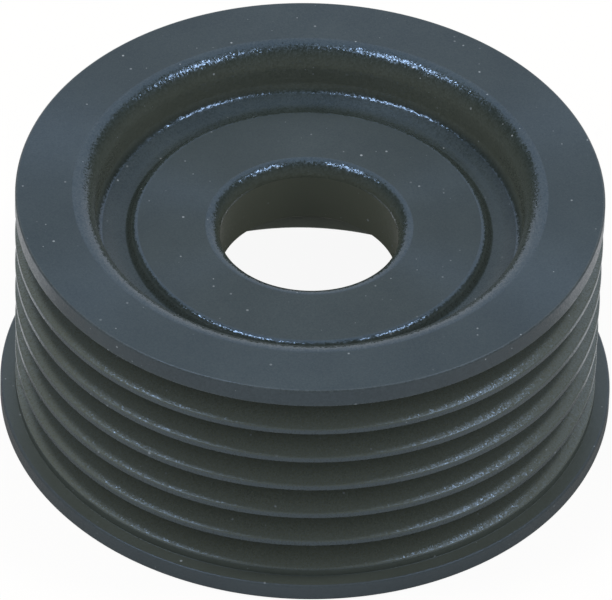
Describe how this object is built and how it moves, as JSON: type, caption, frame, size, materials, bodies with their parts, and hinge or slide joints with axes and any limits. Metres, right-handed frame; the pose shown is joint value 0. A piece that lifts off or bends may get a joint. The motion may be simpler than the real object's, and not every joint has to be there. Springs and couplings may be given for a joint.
{
  "type": "alternator pulley",
  "caption": "Solid steel alternator pulley with V-ribbed belt grooves, a rear guide flange, a recessed hub for the nut and a plain shaft bore.",
  "frame": {"origin": "centre of the rear end, on the shaft axis, in the plane the pulley stands on", "axes": "+Z along the shaft axis from the alternator side to the nut side; X and Y are any radial pair, because the pulley is a body of revolution"},
  "size_m": [0.0588, 0.0588, 0.0254],
  "materials": {
    "blackened_steel": "turned and black-oxide coated, satin"
  },
  "bodies": {
    "root": {"pulley": "blackened_steel"}
  },
  "joints": []
}
